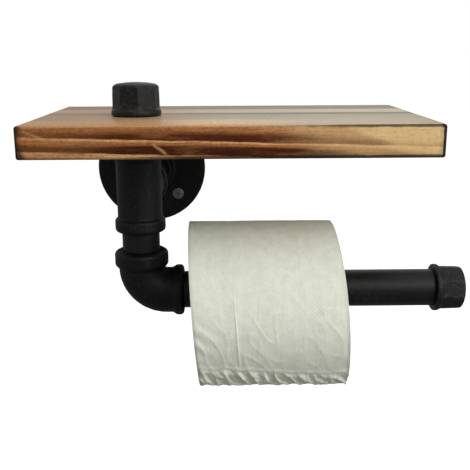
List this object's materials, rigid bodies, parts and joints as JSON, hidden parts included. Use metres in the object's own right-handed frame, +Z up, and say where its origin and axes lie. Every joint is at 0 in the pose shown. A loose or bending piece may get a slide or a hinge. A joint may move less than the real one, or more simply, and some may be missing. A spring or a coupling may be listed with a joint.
{
  "type": "toilet paper holder",
  "caption": "Wall-mounted toilet paper holder of black iron pipe fittings with a scorched pine shelf above, and a roll on its open-ended side arm.",
  "frame": {"origin": "centre of the wall flange's back face, on the wall", "axes": "+X along the arm, to the right seen from the room; +Y into the wall; +Z up"},
  "size_m": [0.302, 0.2056, 0.2202],
  "materials": {
    "cast_iron_black": "matte black baked paint over a cast, slightly sandy skin",
    "cap_black": "matte black paint, a little greyer, worn on the corners of the octagon",
    "pipe_black": "matte black paint on drawn pipe, faint lengthwise lines",
    "screw_black": "black phosphate, low sheen",
    "plug_nylon": "grey nylon",
    "scorched_pine": "pine with torch-burnt stripes along the grain, thin satin varnish",
    "core_card": "spiral-wound grey-brown card",
    "tissue": "soft white tissue with a faint green-grey cast, fine crepe"
  },
  "bodies": {
    "frame": {"wall_flange": "cast_iron_black", "wall_screw_1": "screw_black", "wall_screw_2": "screw_black", "wall_screw_3": "screw_black", "wall_screw_4": "screw_black", "wall_plug_1": "plug_nylon", "wall_plug_2": "plug_nylon", "wall_plug_3": "plug_nylon", "wall_plug_4": "plug_nylon", "wall_nipple": "pipe_black", "tee": "cast_iron_black", "shelf_nipple": "pipe_black", "shelf_board": "scorched_pine", "top_cap": "cap_black", "lower_nipple": "pipe_black"},
    "arm": {"elbow": "cast_iron_black", "arm_pipe": "pipe_black", "end_cap": "cap_black"},
    "core": {"roll_core": "core_card"},
    "roll": {"roll_paper": "tissue"}
  },
  "joints": [
    {"name": "arm_swivel", "type": "hinge", "parent": "frame", "child": "arm", "pos_m": [0, -0.098, -0.0452], "axis": [0, 0, 1], "range_deg": [-90, 10]},
    {"name": "roll_slide", "type": "slide", "parent": "arm", "child": "core", "axis": [1, 0, 0], "range_m": [-0.0075, 0.0685]},
    {"name": "roll_spin", "type": "hinge", "parent": "core", "child": "roll", "pos_m": [0.091, -0.098, -0.08535], "axis": [1, 0, 0], "continuous": true}
  ]
}
